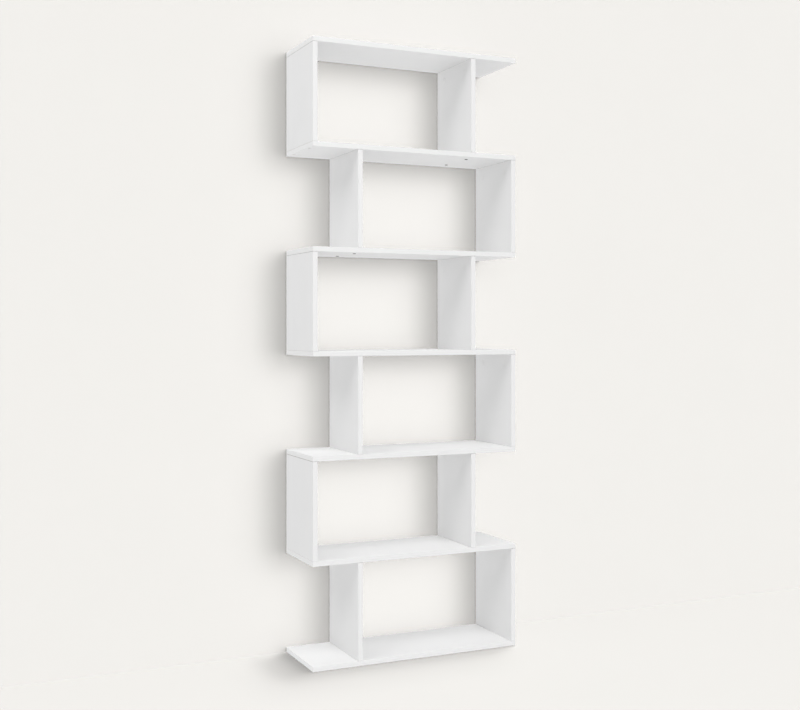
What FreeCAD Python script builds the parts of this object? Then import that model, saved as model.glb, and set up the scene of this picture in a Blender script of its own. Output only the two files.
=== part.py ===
import FreeCAD, Part
import math
import os

# A zigzag bookshelf in white faced board with an open back.
# Seven full-width boards are held apart by six tiers of two uprights. In each tier one upright
# is flush with an end of the boards and the other is set in, on alternating sides.
# X runs along the width, Y from the front towards the wall, Z up.
# The origin is the middle of the footprint, on the floor. Lengths are in millimetres.

# Overall form
shelf_width = 700.0
shelf_depth = 240.0
bay_height = 300.0
board_thickness = 15.0
side_overhang = 147.0
tier_count = 6

# Edging on the panels
edging_thickness = 1.0
edging_round = 0.6
edging_round_limit_share = 0.9
edging_joint_gap = 0.05

# Lines of fasteners, measured from the front and from the rear edge
fastener_inset = 50.0

# Fits
bore_clearance = 0.05
end_clearance = 0.5
cut_overrun = 2.0

# Joint screws, driven from below through a board into the foot of an upright
screw_head_diameter = 10.0
screw_head_rim = 0.8
screw_head_depth = 3.4
screw_sink = 0.3
screw_shank_diameter = 6.8
screw_core_diameter = 5.0
screw_grip = 35.0
screw_tip_length = 3.0
screw_tip_diameter = 2.0
screw_socket_flats = 4.0
screw_socket_depth = 2.6
socket_side_count = 6

# Cam bolts, screwed into the underside of a board
bolt_thread_diameter = 7.0
bolt_cover = 4.0
bolt_shank_diameter = 6.0
bolt_neck_diameter = 4.5
bolt_neck_overlap = 2.0
bolt_head_diameter = 6.8
bolt_head_length = 3.6
bolt_head_shoulder = 1.5
bolt_head_chamfer = 0.6
bolt_play = 0.5

# Cam locks, sunk into the bay side of an upright near its top
cam_setback = 34.0
cam_diameter = 14.8
cam_skin = 2.5
cam_recess = 0.3
cam_eccentricity = 0.6
cam_slot_play = 0.2
cam_slot_angle = 180.0
cam_slot_start_angle = 40.0
cam_entry_angle = 130.0
cam_drive_span = 7.0
cam_drive_width = 1.6
cam_drive_depth = 1.8

# Covers over the cam locks
cover_overlap = 2.5
cover_thickness = 0.4

# Wooden dowels
dowel_diameter = 8.0
dowel_length = 30.0
dowel_cover = 5.0
dowel_chamfer = 1.0
dowel_flute_count = 12
dowel_flute_radius = 0.7
dowel_flute_depth = 0.4

# Wall brackets on the rear edge of the top board, and their screws
bracket_spacing = 350.0
bracket_width = 18.0
bracket_leg = 25.0
bracket_thickness = 2.0
bracket_bend_radius = 1.5
bracket_corner_radius = 4.0
bracket_hole_rise = 15.0
bracket_wall_hole_diameter = 5.0
bracket_screw_hole_diameter = 4.0
bracket_screw_diameter = 3.0
bracket_screw_grip = 10.0
bracket_screw_head_diameter = 7.0
bracket_screw_head_height = 2.2
bracket_screw_head_rim = 0.9
bracket_screw_crown_diameter = 4.4
bracket_screw_slot_width = 0.9
bracket_screw_slot_depth = 1.0

# Directions and angles
right = FreeCAD.Vector(1, 0, 0)
rearward = FreeCAD.Vector(0, 1, 0)
up = FreeCAD.Vector(0, 0, 1)
origin = FreeCAD.Vector(0, 0, 0)
quarter_turn = 90.0
half_turn = 180.0
full_turn = 360.0

# Sizes that follow from the ones above
tier_pitch = bay_height + board_thickness
shelf_height = tier_count * tier_pitch + board_thickness
half_width = shelf_width / 2
half_depth = shelf_depth / 2
half_thickness = board_thickness / 2
fastener_lines = (fastener_inset - half_depth, half_depth - fastener_inset)
bolt_bore_depth = board_thickness - bolt_cover
cam_radius = cam_diameter / 2
cam_bore_depth = board_thickness - cam_skin
dowel_board_depth = board_thickness - dowel_cover
dowel_upright_depth = dowel_length - dowel_board_depth + 2 * end_clearance
bracket_places = (-bracket_spacing / 2, bracket_spacing / 2)
bracket_screw_y = half_depth - bracket_hole_rise

# The cam's pocket is just wide enough for the rim of the bolt's head behind its shoulder.
shoulder_reach = bolt_head_shoulder + bore_clearance
head_radius = bolt_head_diameter / 2
pocket_radius = (shoulder_reach**2 + head_radius**2) / (2 * shoulder_reach) + bore_clearance
head_top = pocket_radius - cam_eccentricity - bore_clearance


def turned(outline):
    """Solid of revolution about Z from (radius, height) points that start and end on the axis."""
    points = [FreeCAD.Vector(radius, 0, height) for radius, height in outline]
    profile = Part.Face(Part.makePolygon(points + points[:1]))
    return profile.revolve(origin, up, full_turn)


def block(low, high):
    """Box between its lowest and highest corners."""
    size = high - low
    return Part.makeBox(size.x, size.y, size.z, low)


def bore(diameter, depth, mouth, inward):
    """Tool for a blind hole: from an overrun outside its mouth to its depth."""
    radius = diameter / 2 + bore_clearance
    return Part.makeCylinder(radius, depth + cut_overrun, mouth - inward * cut_overrun, inward)


def moved(shape, place):
    """Copy of a shape, shifted to a place."""
    copy = shape.copy()
    copy.translate(place)
    return copy


def turned_copies(shape, count):
    """Copies of a shape, evenly spaced about Z."""
    copies = []
    for index in range(count):
        copy = shape.copy()
        copy.rotate(origin, up, index * full_turn / count)
        copies.append(copy)
    return copies


def board_level(index):
    """Height of the underside of a board, where 0 is the base board."""
    return index * tier_pitch


def upright_middles(tier):
    """Middles of the left and the right upright of a tier, where 1 is the lowest tier."""
    set_in = side_overhang + half_thickness
    if tier % 2:
        return (set_in - half_width, half_width - half_thickness)
    return (half_thickness - half_width, half_width - set_in)


def tiers_of_board(index):
    """Tiers that stand on a board and that hang from it, either of them None where there is none."""
    standing = index + 1 if index < tier_count else None
    hanging = index if index > 0 else None
    return standing, hanging


# Edging

def edging_strip(corner, along, outward, across, length):
    """Strip on a panel's edge with its two outer corners rounded.

    The corner is the end of the glued face, and the strip covers the panel's thickness.
    """
    rounding = min(edging_round, edging_thickness * edging_round_limit_share)
    flat = edging_thickness - rounding

    def at(out, over):
        return corner + outward * out + across * over

    lower_bulge = at(flat, rounding) + (outward - across).normalize() * rounding
    upper_bulge = at(flat, board_thickness - rounding) + (outward + across).normalize() * rounding
    lower_arc = (at(flat, 0), lower_bulge, at(edging_thickness, rounding))
    upper_arc = (at(edging_thickness, board_thickness - rounding), upper_bulge, at(flat, board_thickness))
    edges = [
        Part.makeLine(at(0, 0), lower_arc[0]),
        Part.Arc(*lower_arc).toShape(),
        Part.makeLine(lower_arc[-1], upper_arc[0]),
        Part.Arc(*upper_arc).toShape(),
        Part.makeLine(upper_arc[-1], at(0, board_thickness)),
        Part.makeLine(at(0, board_thickness), at(0, 0)),
    ]
    return Part.Face(Part.Wire(edges)).extrude(along * length)


def board_edging(index):
    """Front and rear strips over the full width, with the end strips between them."""
    level = board_level(index)
    glue_x = half_width - edging_thickness
    glue_y = half_depth - edging_thickness
    short_reach = glue_y - edging_joint_gap
    strips = []
    for side in (-1, 1):
        long_corner = FreeCAD.Vector(-half_width, side * glue_y, level)
        strips.append(edging_strip(long_corner, right, rearward * side, up, shelf_width))
        short_corner = FreeCAD.Vector(side * glue_x, -short_reach, level)
        strips.append(edging_strip(short_corner, rearward, right * side, up, 2 * short_reach))
    return Part.makeCompound(strips)


def upright_edging(tier, middle):
    """Front and rear strips from board to board."""
    foot = board_level(tier) - bay_height
    glue_y = half_depth - edging_thickness
    strips = []
    for side in (-1, 1):
        corner = FreeCAD.Vector(middle - half_thickness, side * glue_y, foot)
        strips.append(edging_strip(corner, up, rearward * side, right, bay_height))
    return Part.makeCompound(strips)


# Panels

def screw_hole():
    """Tool for a countersunk hole through a board, from its underside at zero height."""
    head_radius_cut = screw_head_diameter / 2 + bore_clearance
    shank_radius_cut = screw_shank_diameter / 2 + bore_clearance
    return turned([
        (0, -cut_overrun),
        (head_radius_cut, -cut_overrun),
        (head_radius_cut, screw_sink + screw_head_rim),
        (shank_radius_cut, screw_sink + screw_head_depth),
        (shank_radius_cut, board_thickness + cut_overrun),
        (0, board_thickness + cut_overrun),
    ])


def board(index):
    """Faced board inside its edging, bored for the uprights above and below it."""
    level = board_level(index)
    low = FreeCAD.Vector(edging_thickness - half_width, edging_thickness - half_depth, level)
    high = FreeCAD.Vector(-low.x, -low.y, level + board_thickness)
    standing, hanging = tiers_of_board(index)
    cuts = []
    for middle in upright_middles(standing) if standing else ():
        cuts += [moved(screw_hole(), FreeCAD.Vector(middle, y, level)) for y in fastener_lines]
        cuts.append(bore(dowel_diameter, dowel_board_depth, FreeCAD.Vector(middle, 0, high.z), -up))
    for middle in upright_middles(hanging) if hanging else ():
        for y in fastener_lines:
            cuts.append(bore(bolt_thread_diameter, bolt_bore_depth, FreeCAD.Vector(middle, y, level), up))
        cuts.append(bore(dowel_diameter, dowel_board_depth, FreeCAD.Vector(middle, 0, level), up))
    if index == tier_count:
        for x in bracket_places:
            mouth = FreeCAD.Vector(x, bracket_screw_y, high.z)
            cuts.append(bore(bracket_screw_diameter, bracket_screw_grip + end_clearance, mouth, -up))
    return block(low, high).cut(cuts)


def upright(tier, middle):
    """Faced panel between two boards, bored at its foot and head and for its cam locks."""
    foot = board_level(tier) - bay_height
    head = board_level(tier)
    bay_side = right if middle < 0 else -right
    low = FreeCAD.Vector(middle - half_thickness, edging_thickness - half_depth, foot)
    high = FreeCAD.Vector(middle + half_thickness, half_depth - edging_thickness, head)
    bolt_bore_diameter = bolt_shank_diameter + 2 * bolt_play
    cuts = []
    for y in fastener_lines:
        cuts.append(bore(screw_core_diameter, screw_grip + end_clearance, FreeCAD.Vector(middle, y, foot), up))
        cuts.append(bore(bolt_bore_diameter, cam_setback, FreeCAD.Vector(middle, y, head), -up))
        face = FreeCAD.Vector(middle, y, head - cam_setback) + bay_side * half_thickness
        cuts.append(bore(cam_diameter, cam_bore_depth, face, -bay_side))
    cuts.append(bore(dowel_diameter, dowel_upright_depth, FreeCAD.Vector(middle, 0, foot), up))
    cuts.append(bore(dowel_diameter, dowel_upright_depth, FreeCAD.Vector(middle, 0, head), -up))
    return block(low, high).cut(cuts)


# Fasteners

def joint_screw():
    """Countersunk screw with a hexagon socket, upright, with the board's underside at zero height."""
    head_rim_top = screw_sink + screw_head_rim
    head_end = screw_sink + screw_head_depth
    shank_end = board_thickness - end_clearance
    tip = board_thickness + screw_grip
    shape = turned([
        (0, screw_sink),
        (screw_head_diameter / 2, screw_sink),
        (screw_head_diameter / 2, head_rim_top),
        (screw_shank_diameter / 2, head_end),
        (screw_shank_diameter / 2, shank_end),
        (screw_core_diameter / 2, shank_end),
        (screw_core_diameter / 2, tip - screw_tip_length),
        (screw_tip_diameter / 2, tip),
        (0, tip),
    ])
    return shape.cut(hexagon_socket())


def hexagon_socket():
    """Tool for the socket in the head of a joint screw, with two of its flats facing left and right."""
    half_side = half_turn / socket_side_count
    corner_radius = screw_socket_flats / 2 / math.cos(math.radians(half_side))
    corner = FreeCAD.Vector(corner_radius, 0, screw_sink - cut_overrun)
    turns = [FreeCAD.Rotation(up, (2 * side + 1) * half_side) for side in range(socket_side_count)]
    corners = [turn.multVec(corner) for turn in turns]
    outline = Part.Face(Part.makePolygon(corners + corners[:1]))
    return outline.extrude(up * (screw_socket_depth + cut_overrun))


def cam_bolt():
    """Turned bolt, upright, with the axis of its cam lock at zero height."""
    neck_end = cam_radius + bolt_neck_overlap
    head_foot = head_top - bolt_head_length
    thread_end = cam_setback + bolt_bore_depth - end_clearance
    return turned([
        (0, head_foot),
        (head_radius - bolt_head_chamfer, head_foot),
        (head_radius, head_foot + bolt_head_chamfer),
        (head_radius, head_top - bolt_head_shoulder),
        (bolt_neck_diameter / 2, head_top),
        (bolt_neck_diameter / 2, neck_end),
        (bolt_shank_diameter / 2, neck_end),
        (bolt_shank_diameter / 2, cam_setback),
        (bolt_thread_diameter / 2, cam_setback),
        (bolt_thread_diameter / 2, thread_end),
        (0, thread_end),
    ])


def cam_lock():
    """Cam that faces +X from a panel face at x = 0 and grips a bolt that comes down from above.

    It is shaped with its axis along Z and the bolt along Y, then turned.
    """
    bolt_line = -half_thickness
    body = Part.makeCylinder(cam_radius, cam_bore_depth - cam_recess, -up * cam_bore_depth)
    pocket_height = 2 * (head_radius + cam_slot_play)
    pocket_middle = FreeCAD.Vector(0, -cam_eccentricity, bolt_line - pocket_height / 2)
    pocket = Part.makeCylinder(pocket_radius, pocket_height, pocket_middle)
    slot_height = bolt_neck_diameter + 2 * cam_slot_play
    slot_foot = up * (bolt_line - slot_height / 2)
    slot = Part.makeCylinder(cam_radius + cut_overrun, slot_height, slot_foot, up, cam_slot_angle)
    slot.rotate(origin, up, cam_slot_start_angle)
    entry = Part.makeCylinder(head_radius + cam_slot_play, cam_radius + cut_overrun, up * bolt_line, rearward)
    entry.rotate(origin, up, cam_entry_angle)
    shape = body.cut([pocket, slot, entry] + cam_drive_cross())
    shape.Placement = FreeCAD.Placement(origin, FreeCAD.Rotation(rearward, up, right, "XYZ"))
    return shape


def cam_drive_cross():
    """Tools for the cross recess in the face of a cam."""
    low = FreeCAD.Vector(-cam_drive_span / 2, -cam_drive_width / 2, -cam_recess - cam_drive_depth)
    arm = block(low, FreeCAD.Vector(-low.x, -low.y, cut_overrun))
    crossing = arm.copy()
    crossing.rotate(origin, up, quarter_turn)
    return [arm, crossing]


def cam_cover():
    """Thin round cover that faces +X on a panel face at x = 0."""
    return Part.makeCylinder(cam_radius + cover_overlap, cover_thickness, origin, right)


def dowel():
    """Fluted dowel across a joint at zero height, with its short end down in a board."""
    radius = dowel_diameter / 2
    low = end_clearance - dowel_board_depth
    high = low + dowel_length
    rod = turned([
        (0, low),
        (radius - dowel_chamfer, low),
        (radius, low + dowel_chamfer),
        (radius, high - dowel_chamfer),
        (radius - dowel_chamfer, high),
        (0, high),
    ])
    flute_line = radius + dowel_flute_radius - dowel_flute_depth
    flute_foot = FreeCAD.Vector(flute_line, 0, low - cut_overrun)
    flute = Part.makeCylinder(dowel_flute_radius, dowel_length + 2 * cut_overrun, flute_foot)
    return rod.cut(turned_copies(flute, dowel_flute_count))


def upright_places():
    """Tier, middle and bay side of every upright, from the lowest tier up, left before right."""
    places = []
    for tier in range(1, tier_count + 1):
        left_middle, right_middle = upright_middles(tier)
        places += [(tier, left_middle, 1), (tier, right_middle, -1)]
    return places


def joint_screws():
    """Two screws under the foot of every upright."""
    shape = joint_screw()
    return Part.makeCompound([
        moved(shape, FreeCAD.Vector(middle, y, board_level(tier - 1)))
        for tier, middle, _ in upright_places() for y in fastener_lines
    ])


def cam_bolts():
    """Two bolts over the head of every upright."""
    shape = cam_bolt()
    return Part.makeCompound([
        moved(shape, FreeCAD.Vector(middle, y, board_level(tier) - cam_setback))
        for tier, middle, _ in upright_places() for y in fastener_lines
    ])


def on_bay_sides(shape):
    """Copies of a shape made for a face towards +X, at both cam places of every upright."""
    copies = []
    for tier, middle, bay_side in upright_places():
        for y in fastener_lines:
            copy = shape.copy()
            if bay_side < 0:
                copy.rotate(origin, up, half_turn)
            face = middle + bay_side * half_thickness
            copies.append(moved(copy, FreeCAD.Vector(face, y, board_level(tier) - cam_setback)))
    return Part.makeCompound(copies)


def dowels():
    """One dowel at the foot and one at the head of every upright."""
    foot_dowel = dowel()
    head_dowel = dowel()
    head_dowel.rotate(origin, right, half_turn)
    copies = []
    for tier, middle, _ in upright_places():
        copies.append(moved(foot_dowel, FreeCAD.Vector(middle, 0, board_level(tier) - bay_height)))
        copies.append(moved(head_dowel, FreeCAD.Vector(middle, 0, board_level(tier))))
    return Part.makeCompound(copies)


# Wall fixing

def wall_bracket():
    """Bent steel angle at x = 0: one leg on the top board, the other up the wall plane."""
    outer_bend = bracket_bend_radius + bracket_thickness
    side = -bracket_width / 2
    lying = block(
        FreeCAD.Vector(side, half_depth - bracket_leg, shelf_height),
        FreeCAD.Vector(-side, half_depth, shelf_height + bracket_thickness))
    standing = block(
        FreeCAD.Vector(side, half_depth - bracket_thickness, shelf_height),
        FreeCAD.Vector(-side, half_depth, shelf_height + bracket_leg))
    angle = lying.fuse(standing).removeSplitter()
    angle = angle.makeFillet(outer_bend, edges_along(angle, right, half_depth, shelf_height))
    inner_y = half_depth - bracket_thickness
    inner_z = shelf_height + bracket_thickness
    angle = angle.makeFillet(bracket_bend_radius, edges_along(angle, right, inner_y, inner_z))
    ends = edges_along(angle, up, half_depth - bracket_leg, shelf_height + bracket_thickness / 2)
    ends += edges_along(angle, rearward, half_depth - bracket_thickness / 2, shelf_height + bracket_leg)
    angle = angle.makeFillet(bracket_corner_radius, ends)
    wall_hole = Part.makeCylinder(
        bracket_wall_hole_diameter / 2,
        shelf_depth,
        FreeCAD.Vector(0, 0, shelf_height + bracket_hole_rise),
        rearward)
    screw_hole_tool = Part.makeCylinder(
        bracket_screw_hole_diameter / 2,
        bracket_leg,
        FreeCAD.Vector(0, bracket_screw_y, shelf_height - bracket_thickness))
    return angle.cut([wall_hole, screw_hole_tool])


def edges_along(shape, along, y, z):
    """Straight edges in a direction whose middle lies at the given y and z."""
    found = []
    for edge in shape.Edges:
        start = edge.Vertexes[0].Point
        end = edge.Vertexes[-1].Point
        span = end - start
        middle = (start + end) / 2
        parallel = span.cross(along).Length <= bore_clearance and span.Length > bore_clearance
        if parallel and (middle - FreeCAD.Vector(middle.x, y, z)).Length <= bore_clearance:
            found.append(edge)
    return found


def bracket_screw():
    """Pan-head screw with a cross slot, on a lying bracket leg at zero height."""
    head_radius_out = bracket_screw_head_diameter / 2
    crown_radius = bracket_screw_crown_diameter / 2
    shank_radius = bracket_screw_diameter / 2
    shank_end = -bracket_thickness - bracket_screw_grip
    shape = turned([
        (0, shank_end),
        (shank_radius, shank_end),
        (shank_radius, 0),
        (head_radius_out, 0),
        (head_radius_out, bracket_screw_head_rim),
        (crown_radius, bracket_screw_head_height),
        (0, bracket_screw_head_height),
    ])
    half_span = crown_radius
    half_slot = bracket_screw_slot_width / 2
    floor = bracket_screw_head_height - bracket_screw_slot_depth
    arm = block(
        FreeCAD.Vector(-half_span, -half_slot, floor),
        FreeCAD.Vector(half_span, half_slot, bracket_screw_head_height + cut_overrun))
    crossing = arm.copy()
    crossing.rotate(origin, up, quarter_turn)
    return shape.cut([arm, crossing])


def wall_brackets():
    """Both brackets."""
    shape = wall_bracket()
    return Part.makeCompound([moved(shape, right * x) for x in bracket_places])


def bracket_screws():
    """The screw of each bracket."""
    shape = bracket_screw()
    leg_top = shelf_height + bracket_thickness
    return Part.makeCompound([
        moved(shape, FreeCAD.Vector(x, bracket_screw_y, leg_top)) for x in bracket_places
    ])


# Assembly

def board_name(index):
    """Node name of a board."""
    if index == 0:
        return "base_board"
    if index == tier_count:
        return "top_board"
    return f"shelf_{index}"


def assembly():
    """Every node of the shelf by name."""
    nodes = {}
    for index in range(tier_count + 1):
        nodes[board_name(index)] = board(index)
        nodes[board_name(index) + "_edging"] = board_edging(index)
    for tier, middle, bay_side in upright_places():
        name = f"upright_{tier}_left" if bay_side > 0 else f"upright_{tier}_right"
        nodes[name] = upright(tier, middle)
        nodes[name + "_edging"] = upright_edging(tier, middle)
    nodes["joint_screws"] = joint_screws()
    nodes["cam_locks"] = on_bay_sides(cam_lock())
    nodes["cam_bolts"] = cam_bolts()
    nodes["cam_covers"] = on_bay_sides(cam_cover())
    nodes["dowels"] = dowels()
    nodes["wall_brackets"] = wall_brackets()
    nodes["bracket_screws"] = bracket_screws()
    return nodes


os.makedirs("parts", exist_ok=True)
for node, shape in assembly().items():
    shape.exportStep(f"parts/{node}.step")
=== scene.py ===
"""Zigzag bookshelf in white faced board: finishes, visible fasteners, studio and camera."""
import logging
import math
from collections.abc import Callable, Iterable, Mapping
from dataclasses import dataclass
from enum import Enum
from typing import Any

import bmesh
import bpy
from mathutils import Matrix, Vector


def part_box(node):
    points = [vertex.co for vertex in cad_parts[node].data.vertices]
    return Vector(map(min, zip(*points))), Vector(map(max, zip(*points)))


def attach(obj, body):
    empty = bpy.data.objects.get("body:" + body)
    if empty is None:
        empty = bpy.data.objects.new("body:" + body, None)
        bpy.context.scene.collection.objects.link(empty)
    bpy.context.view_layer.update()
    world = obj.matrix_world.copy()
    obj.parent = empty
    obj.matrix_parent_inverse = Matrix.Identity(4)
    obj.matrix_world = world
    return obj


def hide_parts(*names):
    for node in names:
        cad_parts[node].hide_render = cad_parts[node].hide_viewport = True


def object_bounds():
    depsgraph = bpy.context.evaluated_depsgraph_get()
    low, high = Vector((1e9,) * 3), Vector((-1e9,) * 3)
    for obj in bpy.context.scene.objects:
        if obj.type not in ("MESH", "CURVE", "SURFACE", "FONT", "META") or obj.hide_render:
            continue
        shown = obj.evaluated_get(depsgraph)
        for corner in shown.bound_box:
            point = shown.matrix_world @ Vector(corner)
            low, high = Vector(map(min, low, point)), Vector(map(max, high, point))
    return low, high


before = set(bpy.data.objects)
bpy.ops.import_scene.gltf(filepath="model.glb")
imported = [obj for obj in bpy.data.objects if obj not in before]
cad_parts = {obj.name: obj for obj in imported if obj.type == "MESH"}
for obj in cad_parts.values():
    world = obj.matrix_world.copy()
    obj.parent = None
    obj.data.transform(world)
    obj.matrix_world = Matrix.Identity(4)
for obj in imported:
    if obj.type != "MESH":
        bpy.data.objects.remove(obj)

# Lengths are in metres, and angles in radians where nothing else is said
CAD_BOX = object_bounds()
BODY = "root"
TIER_COUNT = 6
FASTENER_INSET = 0.050
TOUCH = 1e-6
MID_TONE = 0.5
LINE_STRETCH = 0.03

log = logging.getLogger("bookshelf")

Triple = tuple[float, float, float]


class Slot(Enum):
    """The record's material slots for the new pieces."""

    SCREW = "screw_zinc"
    COVER = "cover_white"


class Lie(Enum):
    """How a panel lies: the direction square to its two faced sides."""

    LEVEL = (0.0, 0.0, 1.0)
    STANDING = (1.0, 0.0, 0.0)


class Run(Enum):
    """Which way strips run, as the stretch of their fine lines along each axis."""

    LEVEL = (LINE_STRETCH, LINE_STRETCH, 1.0)
    STANDING = (1.0, LINE_STRETCH, LINE_STRETCH)


# Shader building

class Link:
    """An output of a shader node. Sums, differences and products of links add Math nodes."""

    def __init__(self, shader: "Shader", socket: bpy.types.NodeSocket) -> None:
        """Keeps the shader and the socket."""
        self.shader = shader
        self.socket = socket

    def math(self, operation: str, first: Any, second: Any = 0.0) -> "Link":
        """Adds one Math node.

        Args:
            operation: the Math node's operation.
            first: its first value or link.
            second: its second value or link.

        Returns:
            The node's result.
        """
        return self.shader.node("ShaderNodeMath", {"operation": operation}, {0: first, 1: second})

    def __add__(self, other: Any) -> "Link":
        """Sum."""
        return self.math("ADD", self, other)

    def __radd__(self, other: Any) -> "Link":
        """Sum with a number on the left."""
        return self.math("ADD", other, self)

    def __sub__(self, other: Any) -> "Link":
        """Difference."""
        return self.math("SUBTRACT", self, other)

    def __rsub__(self, other: Any) -> "Link":
        """Difference from a number on the left."""
        return self.math("SUBTRACT", other, self)

    def __mul__(self, other: Any) -> "Link":
        """Product."""
        return self.math("MULTIPLY", self, other)

    def __rmul__(self, other: Any) -> "Link":
        """Product with a number on the left."""
        return self.math("MULTIPLY", other, self)

    def __mod__(self, other: Any) -> "Link":
        """Remainder."""
        return self.math("MODULO", self, other)

    def __or__(self, other: Any) -> "Link":
        """The larger of the two."""
        return self.math("MAXIMUM", self, other)

    def __abs__(self) -> "Link":
        """Size without its sign."""
        return self.math("ABSOLUTE", self)

    def __gt__(self, other: Any) -> "Link":
        """One where this is larger, else zero."""
        return self.math("GREATER_THAN", self, other)

    def __lt__(self, other: Any) -> "Link":
        """One where this is smaller, else zero."""
        return self.math("LESS_THAN", self, other)


class Shader:
    """The node tree of one material or of the studio's air."""

    def __init__(self, owner: bpy.types.Material | bpy.types.World) -> None:
        """Empties the owner's node tree.

        Args:
            owner: the new material or world.
        """
        self.owner = owner
        self.owner.use_nodes = True
        self.tree = self.owner.node_tree
        self.tree.nodes.clear()

    @classmethod
    def named(cls, name: str) -> "Shader":
        """Starts a new material.

        Args:
            name: the material's name.

        Returns:
            Its empty node tree.
        """
        return cls(bpy.data.materials.new(name))

    def node(self, kind: str, settings: Mapping[str, Any] | None = None,
             inputs: Mapping[Any, Any] | None = None, output: int | str | None = 0) -> Link | None:
        """Adds any node.

        Args:
            kind: the node's type.
            settings: its properties, which are set first.
            inputs: values or links of its sockets, by name or number.
            output: the output to return, or None for a node without one.

        Returns:
            The chosen output.
        """
        made = self.tree.nodes.new(kind)
        for key, value in (settings or {}).items():
            setattr(made, key, value)
        for key, value in (inputs or {}).items():
            if isinstance(value, Link):
                self.tree.links.new(value.socket, made.inputs[key])
            else:
                made.inputs[key].default_value = value
        return None if output is None else Link(self, made.outputs[output])

    def place(self, stretch: Triple = (1.0, 1.0, 1.0)) -> Link:
        """The piece's own coordinates in metres.

        Args:
            stretch: factor along each axis.

        Returns:
            The coordinates.
        """
        raw = self.node("ShaderNodeTexCoord", output="Object")
        return self.node("ShaderNodeMapping", {}, {"Vector": raw, "Scale": stretch})

    def noise(self, place: Link, per_metre: float, detail: float = 2.0,
              roughness: float = 0.5) -> Link:
        """Soft noise around zero.

        Args:
            place: coordinates in metres.
            per_metre: features in a metre.
            detail: octaves.
            roughness: weight of the finer octaves.

        Returns:
            Values from about -0.5 to 0.5.
        """
        raw = self.node(
            "ShaderNodeTexNoise", {"noise_dimensions": "3D"},
            {"Vector": place, "Scale": per_metre, "Detail": detail, "Roughness": roughness})
        return raw - MID_TONE

    def blend(self, share: Any, low: Any, high: Any) -> Link:
        """Mix of two colours.

        Args:
            share: 0 for the low colour, 1 for the high one.
            low: colour or link.
            high: colour or link.

        Returns:
            The mixed colour.
        """
        colours = [(*c, 1.0) if isinstance(c, tuple) else c for c in (low, high)]
        return self.node(
            "ShaderNodeMix", {"data_type": "RGBA", "clamp_factor": True},
            {0: share, 6: colours[0], 7: colours[1]}, output=2)

    def bump(self, height: Link, strength: float, depth: float) -> Link:
        """Normal from a height.

        Args:
            height: height pattern.
            strength: share of the full effect.
            depth: metres for a height of one.

        Returns:
            The normal.
        """
        return self.node(
            "ShaderNodeBump", {}, {"Strength": strength, "Distance": depth, "Height": height})

    def surface(self, sockets: Mapping[str, Any]) -> Link:
        """Adds the surface shader.

        Args:
            sockets: values or links of its sockets.

        Returns:
            The shader.
        """
        return self.node("ShaderNodeBsdfPrincipled", {}, sockets)

    def finish(self, surface: Link) -> bpy.types.Material:
        """Adds the output.

        Args:
            surface: the shader that the material shows.

        Returns:
            The finished material.
        """
        self.node("ShaderNodeOutputMaterial", {}, {"Surface": surface}, output=None)
        return self.owner


# Finishes

@dataclass(frozen=True)
class JointShadeLine:
    """Painted shade: dark hairlines where the uprights meet the boards, for the shadow in the
    joints, wider at the heads on the flush ends.
    """

    foot_width: float = 0.00025
    head_width: float = 0.0002
    end_head_width: float = 0.0009
    end_margin: float = 0.0003
    # Colour of the painted shade in the joints
    tint: Triple = (0.26, 0.258, 0.252)

    def mask(self, shader: Shader, place: Link) -> Link:
        """Finds the painted shade lines.

        Args:
            shader: the material that gets them.
            place: coordinates in metres.

        Returns:
            One on the painted shade lines, zero elsewhere.
        """
        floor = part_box("base_board")[1].z
        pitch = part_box("shelf_1")[1].z - floor
        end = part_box("base_board_edging")[1].x - self.end_margin
        low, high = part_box("upright_1_left")
        across, height = (
            shader.node("ShaderNodeSeparateXYZ", {}, {0: place}, output=axis) for axis in "XZ")
        widening = self.end_head_width - self.head_width
        head_width = self.head_width + (abs(across) > end) * widening
        risen = (height - floor) % pitch
        return (risen < self.foot_width) | (risen + head_width > high.z - low.z)


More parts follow.
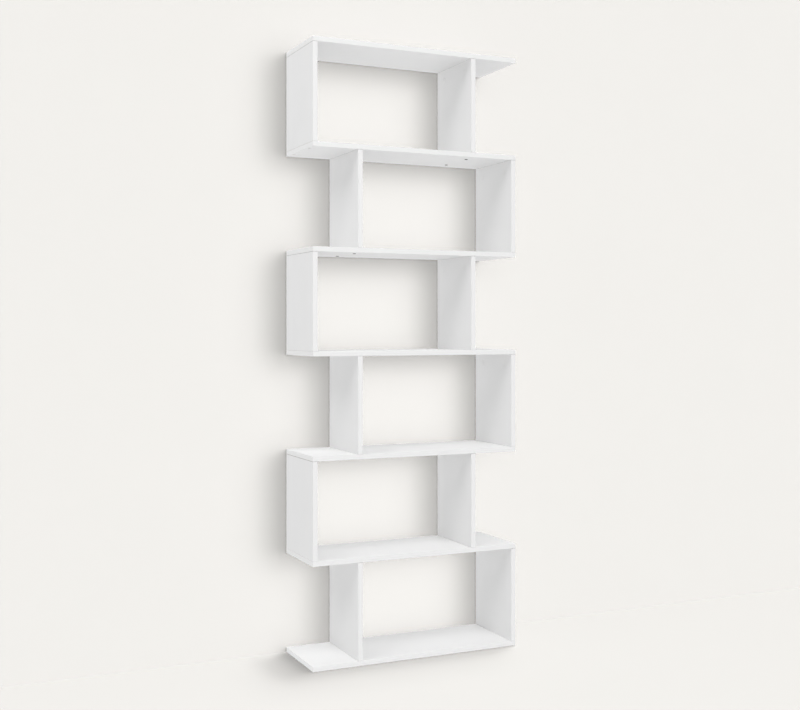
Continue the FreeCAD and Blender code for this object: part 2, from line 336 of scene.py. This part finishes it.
@dataclass(frozen=True)
class Melamine:
    """White facing with a faint pearl texture, on a chipboard core that shows in bores and ends."""

    light: Triple = (0.885, 0.885, 0.884)
    dark: Triple = (0.845, 0.845, 0.844)
    chip_light: Triple = (0.62, 0.49, 0.34)
    chip_dark: Triple = (0.33, 0.23, 0.14)
    pearl_per_metre: float = 700.0
    pearl_tint: float = 0.7
    pearl_gloss: float = 0.10
    pearl_relief: float = 0.35
    pearl_depth: float = 0.00005
    cloud_per_metre: float = 11.0
    cloud_tint: float = 0.9
    cloud_gloss: float = 0.06
    chip_per_metre: float = 420.0
    chip_tint: float = 2.2
    roughness: float = 0.47
    core_roughness: float = 0.85
    least_facing: float = 0.5
    joint_shade: JointShadeLine = JointShadeLine()

    def material(self, lie: Lie) -> bpy.types.Material:
        """Makes the material.

        Args:
            lie: how the panel lies, which says where its facing is.

        Returns:
            The material.
        """
        shader = Shader.named(f"white_melamine_{lie.name.lower()}")
        place = shader.place()
        pearl = shader.noise(place, self.pearl_per_metre, detail=2.0)
        cloud = shader.noise(place, self.cloud_per_metre, detail=3.0)
        tone = MID_TONE + pearl * self.pearl_tint + cloud * self.cloud_tint
        white = shader.blend(tone, self.dark, self.light)
        # Painted shade: on the uprights, dark lines where they meet the boards stand for the shadow
        # in the joints
        if lie is Lie.STANDING:
            white = shader.blend(self.joint_shade.mask(shader, place), white, self.joint_shade.tint)
        chips = shader.noise(place, self.chip_per_metre, detail=4.0, roughness=0.7)
        core = shader.blend(MID_TONE + chips * self.chip_tint, self.chip_dark, self.chip_light)
        normal = shader.node("ShaderNodeNewGeometry", output="True Normal")
        facing = shader.node(
            "ShaderNodeVectorMath", {"operation": "DOT_PRODUCT"}, {0: normal, 1: lie.value},
            output="Value")
        faced = abs(facing) > self.least_facing
        gloss = self.roughness + pearl * self.pearl_gloss + cloud * self.cloud_gloss
        return shader.finish(shader.surface({
            "Base Color": shader.blend(faced, core, white),
            "Roughness": self.core_roughness - faced * (self.core_roughness - gloss),
            "Normal": shader.bump(pearl, self.pearl_relief, self.pearl_depth),
        }))


@dataclass(frozen=True)
class Edging:
    """White plastic edging, satin, with faint lines along the strip."""

    light: Triple = (0.895, 0.895, 0.893)
    dark: Triple = (0.865, 0.865, 0.863)
    line_per_metre: float = 900.0
    line_tint: float = 0.8
    line_gloss: float = 0.10
    pearl_per_metre: float = 800.0
    pearl_tint: float = 0.5
    pearl_gloss: float = 0.05
    relief: float = 0.3
    depth: float = 0.00002
    roughness: float = 0.40
    joint_shade: JointShadeLine = JointShadeLine(head_width=0.0007)

    def material(self, run: Run) -> bpy.types.Material:
        """Makes the material.

        Args:
            run: which way the strips run.

        Returns:
            The material.
        """
        shader = Shader.named(f"white_edging_{run.name.lower()}")
        lines = shader.noise(shader.place(run.value), self.line_per_metre, detail=2.0)
        place = shader.place()
        pearl = shader.noise(place, self.pearl_per_metre, detail=2.0)
        tone = MID_TONE + lines * self.line_tint + pearl * self.pearl_tint
        white = shader.blend(tone, self.dark, self.light)
        # Painted shade: on the upright strips, dark lines where they meet the boards stand for the
        # shadow in the joints
        if run is Run.STANDING:
            white = shader.blend(self.joint_shade.mask(shader, place), white, self.joint_shade.tint)
        return shader.finish(shader.surface({
            "Base Color": white,
            "Roughness": self.roughness + lines * self.line_gloss + pearl * self.pearl_gloss,
            "Normal": shader.bump(lines + pearl, self.relief, self.depth),
        }))


@dataclass(frozen=True)
class Metal:
    """Plated, coated or cast metal with dull patches and fine grain."""

    name: str
    light: Triple
    dark: Triple
    roughness: float
    bareness: float = 1.0
    gloss: float = 0.5
    patch_per_metre: float = 260.0
    patch_tint: float = 1.4
    patch_gloss: float = 0.16
    grain_per_metre: float = 2600.0
    grain_tint: float = 0.5
    grain_gloss: float = 0.08
    relief: float = 0.3
    depth: float = 0.00002

    def material(self) -> bpy.types.Material:
        """Makes the material.

        Returns:
            The material.
        """
        shader = Shader.named(self.name)
        place = shader.place()
        patch = shader.noise(place, self.patch_per_metre, detail=3.0)
        grain = shader.noise(place, self.grain_per_metre, detail=2.0)
        tone = MID_TONE + patch * self.patch_tint + grain * self.grain_tint
        return shader.finish(shader.surface({
            "Base Color": shader.blend(tone, self.dark, self.light),
            "Metallic": self.bareness,
            "Specular IOR Level": self.gloss,
            "Roughness": self.roughness + patch * self.patch_gloss + grain * self.grain_gloss,
            "Normal": shader.bump(grain, self.relief, self.depth),
        }))


@dataclass(frozen=True)
class CoverFilm:
    """White plastic film of the covers, a shade duller than the panels."""

    light: Triple = (0.865, 0.865, 0.862)
    dark: Triple = (0.835, 0.835, 0.832)
    speck_per_metre: float = 1500.0
    speck_gloss: float = 0.10
    relief: float = 0.25
    depth: float = 0.00001
    roughness: float = 0.36

    def material(self) -> bpy.types.Material:
        """Makes the material.

        Returns:
            The material.
        """
        shader = Shader.named("white_cover_film")
        speck = shader.noise(shader.place(), self.speck_per_metre, detail=2.0)
        return shader.finish(shader.surface({
            "Base Color": shader.blend(MID_TONE + speck, self.dark, self.light),
            "Roughness": self.roughness + speck * self.speck_gloss,
            "Normal": shader.bump(speck, self.relief, self.depth),
        }))


@dataclass(frozen=True)
class Beech:
    """Bare beech with fine grain along the height."""

    light: Triple = (0.72, 0.54, 0.36)
    dark: Triple = (0.50, 0.33, 0.19)
    stretch: Triple = (1.0, 1.0, 0.06)
    grain_per_metre: float = 1100.0
    grain_tint: float = 1.2
    grain_gloss: float = 0.15
    fleck_per_metre: float = 320.0
    fleck_tint: float = 0.8
    relief: float = 0.4
    depth: float = 0.00004
    roughness: float = 0.62

    def material(self) -> bpy.types.Material:
        """Makes the material.

        Returns:
            The material.
        """
        shader = Shader.named("bare_beech")
        place = shader.place(self.stretch)
        grain = shader.noise(place, self.grain_per_metre, detail=3.0)
        fleck = shader.noise(place, self.fleck_per_metre, detail=2.0)
        tone = MID_TONE + grain * self.grain_tint + fleck * self.fleck_tint
        return shader.finish(shader.surface({
            "Base Color": shader.blend(tone, self.dark, self.light),
            "Roughness": self.roughness + grain * self.grain_gloss,
            "Normal": shader.bump(grain, self.relief, self.depth),
        }))


@dataclass(frozen=True)
class StagePaint:
    """Matt pale paint, seen from its front only. It throws white, even light on the shelf."""

    name: str
    tint: Triple
    glow: float
    mottle: float = 0.0006
    mottle_per_metre: float = 3.0

    def material(self) -> bpy.types.Material:
        """Makes the material.

        Returns:
            The material.
        """
        shader = Shader.named(self.name)
        cloud = shader.noise(shader.place(), self.mottle_per_metre, detail=2.0)
        low = tuple(value - self.mottle for value in self.tint)
        high = tuple(value + self.mottle for value in self.tint)
        tone = shader.blend(MID_TONE + cloud, low, high)
        paint = shader.node("ShaderNodeBsdfDiffuse", {}, {"Color": tone})
        glow = shader.node("ShaderNodeEmission", {}, {"Strength": self.glow})
        looking = shader.node("ShaderNodeLightPath", output="Is Camera Ray")
        front = shader.node("ShaderNodeMixShader", {}, {0: looking, 1: glow, 2: paint})
        clear = shader.node("ShaderNodeBsdfTransparent")
        behind = shader.node("ShaderNodeNewGeometry", output="Backfacing")
        shader.owner.cycles.emission_sampling = "NONE"
        sheet = shader.node("ShaderNodeMixShader", {}, {0: behind, 1: front, 2: clear})
        return shader.finish(sheet)


# Shelf pieces that keep their shapes

def dress(node: str, material: bpy.types.Material) -> None:
    """Gives a node of the frame its finish.

    Args:
        node: the node's name.
        material: the finish.
    """
    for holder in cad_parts[node].material_slots:
        holder.material = material
    log.info("%s dressed in %s", node, material.name)


@dataclass
class Panels:
    """Boards and uprights with their edging."""

    facing: Melamine
    edging: Edging

    @staticmethod
    def boards() -> list[str]:
        """Names of the boards, from the floor up."""
        return ["base_board", *(f"shelf_{index}" for index in range(1, TIER_COUNT)), "top_board"]

    @staticmethod
    def uprights() -> list[str]:
        """Names of the uprights, from the floor up."""
        tiers = range(1, TIER_COUNT + 1)
        return [f"upright_{tier}_{side}" for tier in tiers for side in ("left", "right")]

    def dress(self) -> None:
        """Gives every panel its facing and every strip its plastic."""
        for names, lie, run in (
                (self.boards(), Lie.LEVEL, Run.LEVEL),
                (self.uprights(), Lie.STANDING, Run.STANDING)):
            faced = self.facing.material(lie)
            strip = self.edging.material(run)
            for name in names:
                dress(name, faced)
                dress(f"{name}_edging", strip)


@dataclass
class HiddenFittings:
    """Fittings inside the panels, and the wall brackets on the top board."""

    cam: Metal
    bolt: Metal
    bracket: Metal
    bracket_screw: Metal
    wood: Beech

    def dress(self) -> None:
        """Gives each fitting its finish."""
        dress("cam_locks", self.cam.material())
        dress("cam_bolts", self.bolt.material())
        dress("dowels", self.wood.material())
        dress("wall_brackets", self.bracket.material())
        dress("bracket_screws", self.bracket_screw.material())


# Workshop

class Workshop:
    """Models one new piece with the edit tools, as by hand."""

    rounding_segments = 2

    def __init__(self, name: str) -> None:
        """Names the piece that is to be made.

        Args:
            name: the piece's name.
        """
        self.name = name
        self.piece: bpy.types.Object | None = None

    def ring(self, sides: int, radius: float, height: float) -> None:
        """Adds a ring of edges about Z, as the first mesh of the piece or beside what it has.

        Args:
            sides: edges of the ring.
            radius: its radius.
            height: its height.
        """
        if self.piece is None:
            bpy.ops.object.select_all(action="DESELECT")
        else:
            bpy.ops.mesh.select_all(action="DESELECT")
        bpy.ops.mesh.primitive_circle_add(
            vertices=sides, radius=radius, fill_type="NOTHING", location=(0.0, 0.0, height))
        if self.piece is None:
            self.piece = bpy.context.object
            self.piece.name = self.name
            bpy.ops.object.transform_apply(location=True, rotation=True, scale=True)
            bpy.ops.object.mode_set(mode="EDIT")
            bpy.ops.mesh.select_all(action="SELECT")

    def select(self, test: Callable[[Vector], bool]) -> None:
        """Selects the points that pass a test, with the edges and faces between them.

        Args:
            test: says whether a point is wanted.
        """
        bpy.ops.mesh.select_mode(type="VERT")
        bpy.ops.mesh.select_all(action="DESELECT")
        mesh = bmesh.from_edit_mesh(self.piece.data)
        for point in mesh.verts:
            point.select = test(point.co)
        mesh.select_flush(True)
        bmesh.update_edit_mesh(self.piece.data)

    def cap(self) -> None:
        """Fills the selected ring."""
        bpy.ops.mesh.edge_face_add()

    def bridge(self) -> None:
        """Joins the two selected rings by faces."""
        bpy.ops.mesh.bridge_edge_loops()

    def draw_out(self, rise: float, growth: float, height: float) -> None:
        """Extrudes the selected ring along Z and resizes it.

        Args:
            rise: change of height.
            growth: new radius over the old one.
            height: the new ring's height.
        """
        bpy.ops.mesh.extrude_edges_move(TRANSFORM_OT_translate={"value": (0.0, 0.0, rise)})
        if abs(growth - 1.0) > TOUCH:
            bpy.ops.transform.resize(
                value=(growth, growth, 1.0), center_override=(0.0, 0.0, height))

    def turn(self, outline: list[tuple[float, float]]) -> None:
        """Draws the selected ring out along an outline.

        Args:
            outline: (radius, height) points, from the selected ring on.
        """
        for (radius, height), (next_radius, next_height) in zip(outline, outline[1:]):
            self.draw_out(next_height - height, next_radius / radius, next_height)

    def finish(self, bevel: float, smooth_angle: float) -> bpy.types.Object:
        """Rounds the sharp edges and closes the piece.

        Args:
            bevel: width of the rounding.
            smooth_angle: largest angle between faces that shade as one, in radians.

        Returns:
            The piece.
        """
        bpy.ops.mesh.select_all(action="SELECT")
        bpy.ops.mesh.remove_doubles(threshold=TOUCH)
        bpy.ops.mesh.normals_make_consistent(inside=False)
        bpy.ops.object.mode_set(mode="OBJECT")
        rounding = self.piece.modifiers.new("rounding", "BEVEL")
        rounding.width = bevel
        rounding.segments = self.rounding_segments
        rounding.limit_method = "ANGLE"
        rounding.angle_limit = smooth_angle
        bpy.ops.object.modifier_apply(modifier=rounding.name)
        bpy.ops.object.shade_smooth_by_angle(angle=smooth_angle)
        return self.piece


def repeat(pattern: bpy.types.Object, placings: Iterable[Matrix]) -> bpy.types.Object:
    """Copies a piece to every place and joins the copies.

    Args:
        pattern: the piece, modelled at the origin, which is removed.
        placings: where the copies go.

    Returns:
        The joined copies, under the pattern's name.
    """
    name = pattern.name
    copies = []
    for placing in placings:
        copy = pattern.copy()
        copy.data = pattern.data.copy()
        copy.data.transform(placing)
        bpy.context.scene.collection.objects.link(copy)
        copies.append(copy)
    bpy.data.objects.remove(pattern)
    bpy.ops.object.select_all(action="DESELECT")
    for copy in copies:
        copy.select_set(True)
    bpy.context.view_layer.objects.active = copies[0]
    bpy.ops.object.join()
    joined = bpy.context.object
    joined.name = name
    joined.data.name = name
    return joined


def install(piece: bpy.types.Object, node: str, material: bpy.types.Material) -> None:
    """Puts a new piece in the place of a node of the frame.

    Args:
        piece: the new piece.
        node: the node that it stands for.
        material: its finish.
    """
    piece.data.materials.clear()
    piece.data.materials.append(material)
    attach(piece, BODY)
    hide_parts(node)
    log.info("%s modelled with %d faces", piece.name, len(piece.data.polygons))


# New pieces

def fastener_lines() -> tuple[float, float]:
    """Front and rear lines of fasteners, measured in from the edges of the base board."""
    low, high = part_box("base_board_edging")
    return low.y + FASTENER_INSET, high.y - FASTENER_INSET


class Head(Enum):
    """A joint screw's head, by how far it stands out from the board."""

    FLUSH = 0.0
    RAISED = 0.0013


@dataclass
class JointScrews:
    """Countersunk screws with a hexagon socket, under the feet of the uprights.

    Those under the set-in uprights have raised heads, except on the base. The others are flush.
    """

    name: str
    metal: Metal
    head: Head
    sides: int = 48
    socket_sides: int = 6
    head_radius: float = 0.0050
    head_rim: float = 0.0008
    head_depth: float = 0.0034
    sink: float = 0.00005
    shoulder: float = 0.0008
    # Points of a raised crown, in from the rim and up from the face, in shares of the shoulder
    crown_shares: tuple[tuple[float, float], ...] = ((1.0, 0.0), (0.25, 0.5), (0.0, 1.25))
    shank_radius: float = 0.0034
    core_radius: float = 0.0025
    tip_radius: float = 0.0010
    tip_length: float = 0.0030
    grip: float = 0.0350
    socket_flats: float = 0.0040
    socket_depth: float = 0.0026
    bevel: float = 0.00018
    smooth_angle: float = math.radians(35.0)

    def crown(self) -> list[tuple[float, float]]:
        """Draws the head's outline from its flat face to its full width.

        Returns:
            (radius, height) points.
        """
        if self.head is Head.FLUSH:
            return [(self.head_radius, self.sink)]
        face = self.sink - self.head.value
        return [
            (self.head_radius - inward * self.shoulder, face + rise * self.shoulder)
            for inward, rise in self.crown_shares
        ]

    def build(self) -> bpy.types.Object:
        """Models one screw, head down, with a board's underside at zero height.

        Returns:
            The screw.
        """
        low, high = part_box("base_board")
        thickness = high.z - low.z
        tip = thickness + self.grip
        corner = self.socket_flats / 2 / math.cos(math.pi / self.socket_sides)
        crown = self.crown()
        face_radius, face = crown[0]
        bench = Workshop(self.name)
        bench.ring(self.socket_sides, corner, face + self.socket_depth)
        bench.cap()
        bench.draw_out(-self.socket_depth, 1.0, face)
        bench.ring(self.sides, face_radius, face)
        bench.select(lambda point: abs(point.z - face) < TOUCH)
        bench.bridge()
        bench.select(lambda point: point.xy.length > face_radius - TOUCH)
        bench.turn([
            *crown,
            (self.head_radius, self.sink + self.head_rim),
            (self.shank_radius, self.sink + self.head_depth),
            (self.shank_radius, thickness),
            (self.core_radius, thickness),
            (self.core_radius, tip - self.tip_length),
            (self.tip_radius, tip),
        ])
        bench.cap()
        return bench.finish(self.bevel, self.smooth_angle)

    def placings(self) -> list[Matrix]:
        """Finds the uprights whose screws have this head.

        Returns:
            Places under their feet, on both fastener lines.
        """
        base_low, base_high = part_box("base_board")
        thickness = base_high.z - base_low.z
        found = []
        for name in Panels.uprights():
            low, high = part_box(name)
            middle = (low.x + high.x) / 2
            set_in = base_low.x + FASTENER_INSET < middle < base_high.x - FASTENER_INSET
            on_base = low.z < base_high.z + TOUCH
            if (set_in and not on_base) != (self.head is Head.RAISED):
                continue
            found += [Matrix.Translation((middle, y, low.z - thickness)) for y in fastener_lines()]
        return found

    def dress(self) -> None:
        """Puts the screws in and gives them their finish."""
        screws = repeat(self.build(), self.placings())
        install(screws, "joint_screws", self.metal.material())


@dataclass
class CamCovers:
    """Thin round covers over the cam locks, on the bay side of the uprights."""

    film: CoverFilm
    sides: int = 64
    radius: float = 0.0099
    thickness: float = 0.0004
    setback: float = 0.0340
    bevel: float = 0.00012
    smooth_angle: float = math.radians(50.0)

    def build(self) -> bpy.types.Object:
        """Models one cover on a face at zero height.

        Returns:
            The cover.
        """
        bench = Workshop("cam_covers_punched")
        bench.ring(self.sides, self.radius, 0.0)
        bench.cap()
        bench.draw_out(self.thickness, 1.0, self.thickness)
        bench.select(lambda point: point.z > self.thickness - TOUCH)
        bench.cap()
        return bench.finish(self.bevel, self.smooth_angle)

    def placings(self) -> list[Matrix]:
        """Finds the faces that the cam locks open to.

        Returns:
            Places over the cam locks, with the cover's front towards the bay.
        """
        found = []
        for name in Panels.uprights():
            low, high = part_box(name)
            faces_right = name.endswith("left")
            turn = Matrix.Rotation(math.radians(90.0 if faces_right else -90.0), 4, "Y")
            face = high.x if faces_right else low.x
            for y in fastener_lines():
                found.append(Matrix.Translation((face, y, high.z - self.setback)) @ turn)
        return found

    def dress(self) -> None:
        """Puts the covers on and gives them their finish."""
        covers = repeat(self.build(), self.placings())
        install(covers, "cam_covers", self.film.material())


# Studio

@dataclass(frozen=True)
class PhotoCamera:
    """Camera at the photo's viewing angle: left of the shelf, at about half its height, level."""

    place: Triple = (-1.5573, -3.3402, 1.0292)
    yaw: float = math.radians(24.8932)
    pitch: float = math.radians(-0.0842)
    focal_px: float = 1146.72
    image_width_px: int = 800
    image_height_px: int = 710
    horizon_row_px: float = 330.0
    sensor_mm: float = 36.0

    def build(self) -> None:
        """Sets the camera up."""
        data = bpy.data.cameras.new("photo_camera")
        data.sensor_fit = "HORIZONTAL"
        data.sensor_width = self.sensor_mm
        data.lens = self.focal_px * self.sensor_mm / self.image_width_px
        data.shift_y = (self.horizon_row_px - self.image_height_px / 2) / self.image_width_px
        camera = bpy.data.objects.new("photo_camera", data)
        camera.location = self.place
        camera.rotation_euler = (math.pi / 2 + self.pitch, 0.0, -self.yaw)
        bpy.context.scene.collection.objects.link(camera)
        bpy.context.scene.camera = camera


class Reach(Enum):
    """What a light falls on, or what shades it."""

    SHELF = "shelf"
    FLOOR = "floor"
    BACKDROP = "backdrop"


Groups = Mapping[Reach, bpy.types.Collection]


@dataclass(frozen=True)
class SoftBox:
    """Large soft light that looks at a point and falls on the shelf alone."""

    name: str
    place: Triple
    target: Triple
    width: float
    height: float
    power: float

    def build(self, groups: Groups) -> None:
        """Hangs the light.

        Args:
            groups: the pieces by what a light can fall on.
        """
        data = bpy.data.lights.new(self.name, "AREA")
        data.shape = "RECTANGLE"
        data.size = self.width
        data.size_y = self.height
        data.energy = self.power
        lamp = bpy.data.objects.new(self.name, data)
        lamp.location = self.place
        aim = Vector(self.target) - Vector(self.place)
        lamp.rotation_euler = aim.to_track_quat("-Z", "Y").to_euler()
        lamp.light_linking.receiver_collection = groups[Reach.SHELF]
        bpy.context.scene.collection.objects.link(lamp)


@dataclass(frozen=True)
class FarLight:
    """Soft light from far off, the same all over what it falls on. Angles are in degrees."""

    name: str
    falls_on: Reach
    shaded_by: Reach
    bearing: float
    elevation: float
    spread: float
    strength: float

    def build(self, groups: Groups) -> None:
        """Hangs the light, with bearings to the right of straight in front.

        Args:
            groups: the pieces by what a light can fall on.
        """
        data = bpy.data.lights.new(self.name, "SUN")
        data.energy = self.strength
        data.angle = math.radians(self.spread)
        lamp = bpy.data.objects.new(self.name, data)
        tilt = math.pi / 2 - math.radians(self.elevation)
        lamp.rotation_euler = (tilt, 0.0, math.radians(self.bearing))
        lamp.visible_glossy = False
        lamp.light_linking.receiver_collection = groups[self.falls_on]
        lamp.light_linking.blocker_collection = groups[self.shaded_by]
        bpy.context.scene.collection.objects.link(lamp)


@dataclass(frozen=True)
class StudioAir:
    """Soft white light from behind, above and below, and the pale tone that the camera sees."""

    seen: Triple
    behind: float
    above: float

    def build(self) -> None:
        """Sets the world up."""
        world = bpy.data.worlds.new("studio_air")
        shader = Shader(world)
        direction = shader.node("ShaderNodeTexCoord", output="Generated")
        along, up = (
            shader.node("ShaderNodeSeparateXYZ", {}, {0: direction}, output=axis) for axis in "YZ")
        strength = along * along * (along > 0.0) * self.behind + up * up * self.above
        glow = shader.node("ShaderNodeBackground", {}, {"Strength": strength})
        pale = shader.node("ShaderNodeBackground", {}, {"Color": (*self.seen, 1.0)})
        looking = shader.node("ShaderNodeLightPath", output="Is Camera Ray")
        air = shader.node("ShaderNodeMixShader", {}, {0: looking, 1: glow, 2: pale})
        shader.node("ShaderNodeOutputWorld", {}, {"Surface": air}, output=None)
        bpy.context.scene.world = world


@dataclass(frozen=True)
class Studio:
    """Pale floor and backdrop with soft light."""

    floor_paint: StagePaint
    wall_paint: StagePaint
    lights: tuple[SoftBox | FarLight, ...]
    air: StudioAir
    floor_gap: float = 0.0005
    wall_bite: float = 0.0008
    span: float = 30.0

    def build(self) -> None:
        """Lays the floor, puts the backdrop behind the shelf and hangs the lights."""
        low, high = CAD_BOX
        shelf = [item for item in bpy.context.scene.objects if item.type == "MESH"]
        floor_place = (0.0, 0.0, low.z - self.floor_gap)
        wall_place = (0.0, high.y - self.wall_bite, 0.0)
        floor_sheet = self._sheet("floor", self.floor_paint, floor_place, 0.0)
        wall_sheet = self._sheet("backdrop", self.wall_paint, wall_place, math.pi / 2)
        groups = {
            Reach.SHELF: self._group(Reach.SHELF, shelf),
            Reach.FLOOR: self._group(Reach.FLOOR, [floor_sheet]),
            Reach.BACKDROP: self._group(Reach.BACKDROP, [wall_sheet]),
        }
        for sheet in (floor_sheet, wall_sheet):
            sheet.light_linking.receiver_collection = groups[Reach.SHELF]
        for light in self.lights:
            light.build(groups)
        self.air.build()
        bpy.context.scene.view_settings.view_transform = "Standard"

    @staticmethod
    def _group(reach: Reach, pieces: Iterable[bpy.types.Object]) -> bpy.types.Collection:
        """Gathers pieces for the lights.

        Args:
            reach: names the group.
            pieces: its pieces.

        Returns:
            The group.
        """
        group = bpy.data.collections.new(reach.value)
        for piece in pieces:
            group.objects.link(piece)
        return group

    def _sheet(self, name: str, paint: StagePaint, place: Triple, tilt: float) -> bpy.types.Object:
        """Adds one large flat sheet.

        Args:
            name: its name.
            paint: its finish.
            place: its middle.
            tilt: turn about X, in radians.

        Returns:
            The sheet.
        """
        bpy.ops.object.select_all(action="DESELECT")
        bpy.ops.mesh.primitive_plane_add(size=self.span, location=place, rotation=(tilt, 0.0, 0.0))
        sheet = bpy.context.object
        sheet.name = name
        sheet.data.materials.append(paint.material())
        return sheet


def shelf_lights() -> tuple[SoftBox, ...]:
    """Sets out the soft lights that fall on the shelf.

    Returns:
        The lights.
    """
    middle = (0.0, 0.0, 0.95)
    return (
        SoftBox("key_light", (-0.6, -6.4, 10.3), middle, width=6.0, height=4.0, power=423.0),
        SoftBox("front_light", (-1.0, -9.0, 3.0), middle, width=5.0, height=3.0, power=194.0),
        SoftBox("left_light", (-4.5, -2.2, 5.5), middle, width=3.0, height=3.0, power=95.0),
    )


def backdrop_lights() -> tuple[FarLight, ...]:
    """Sets out the far lights whose shelf shadows fall on the backdrop, and their fill.

    Returns:
        The lights.
    """
    shaded = (Reach.BACKDROP, Reach.SHELF)
    return (
        FarLight("backdrop_wide", *shaded, bearing=16.2, elevation=5.9, spread=50.0, strength=7.0),
        FarLight("backdrop_key", *shaded, bearing=14.6, elevation=6.4, spread=25.0, strength=7.1),
        FarLight("backdrop_left", *shaded, bearing=-16.0, elevation=10.0, spread=32.0,
                 strength=2.4),
        FarLight("backdrop_contact", *shaded, bearing=1.0, elevation=0.8, spread=0.8, strength=3.3),
        FarLight("backdrop_fill", Reach.BACKDROP, Reach.BACKDROP,
                 bearing=0.0, elevation=0.0, spread=30.0, strength=8.0),
    )


def floor_lights() -> tuple[FarLight, ...]:
    """Sets out the far lights whose shelf shadows fall on the floor, and their fill.

    Returns:
        The lights.
    """
    shaded = (Reach.FLOOR, Reach.SHELF)
    return (
        FarLight("floor_wide", *shaded, bearing=135.2, elevation=82.4, spread=5.7, strength=2.3),
        FarLight("floor_near", *shaded, bearing=114.5, elevation=86.3, spread=3.7, strength=6.6),
        FarLight("floor_contact", *shaded, bearing=65.4, elevation=89.2, spread=2.2, strength=7.9),
        FarLight("floor_fill", Reach.FLOOR, Reach.FLOOR,
                 bearing=0.0, elevation=90.0, spread=30.0, strength=10.0),
    )


def main() -> None:
    """Builds and dresses the shelf, then the studio."""
    zinc = Metal("zinc_plate", (0.74, 0.74, 0.73), (0.56, 0.56, 0.56), roughness=0.38)
    # Painted shade: the raised inner screw heads are near-black and matt, a tone that stands for
    # the shade on and around the heads
    shade_dark_heads = Metal("dark_heads_painted_shade", (0.10, 0.10, 0.098), (0.06, 0.06, 0.058), roughness=0.55,
                  bareness=0.0, gloss=0.2)
    cast = Metal("cast_zinc", (0.60, 0.60, 0.61), (0.42, 0.42, 0.43), roughness=0.52)
    bolt = Metal("bolt_plate", (0.68, 0.66, 0.60), (0.48, 0.46, 0.41), roughness=0.34)
    bracket = Metal("bracket_plate", (0.66, 0.66, 0.66), (0.46, 0.46, 0.47), roughness=0.36)
    bracket_screw = Metal(
        "bracket_screw_plate", (0.62, 0.62, 0.61), (0.42, 0.42, 0.42), roughness=0.34)
    stage_tint = (0.102, 0.1, 0.0965)
    Panels(Melamine(), Edging()).dress()
    HiddenFittings(cast, bolt, bracket, bracket_screw, Beech()).dress()
    JointScrews("end_screws_turned", zinc, Head.FLUSH).dress()
    JointScrews("inner_screws_turned", shade_dark_heads, Head.RAISED).dress()
    CamCovers(CoverFilm()).dress()
    Studio(
        floor_paint=StagePaint("pale_floor", stage_tint, glow=0.905),
        wall_paint=StagePaint("pale_backdrop", stage_tint, glow=0.83),
        lights=(*shelf_lights(), *backdrop_lights(), *floor_lights()),
        air=StudioAir(seen=(0.905, 0.887, 0.856), behind=0.95, above=1.115),
    ).build()
    PhotoCamera().build()


if __name__ == "__main__":
    logging.basicConfig(level=logging.INFO, format="%(name)s: %(message)s")
    main()
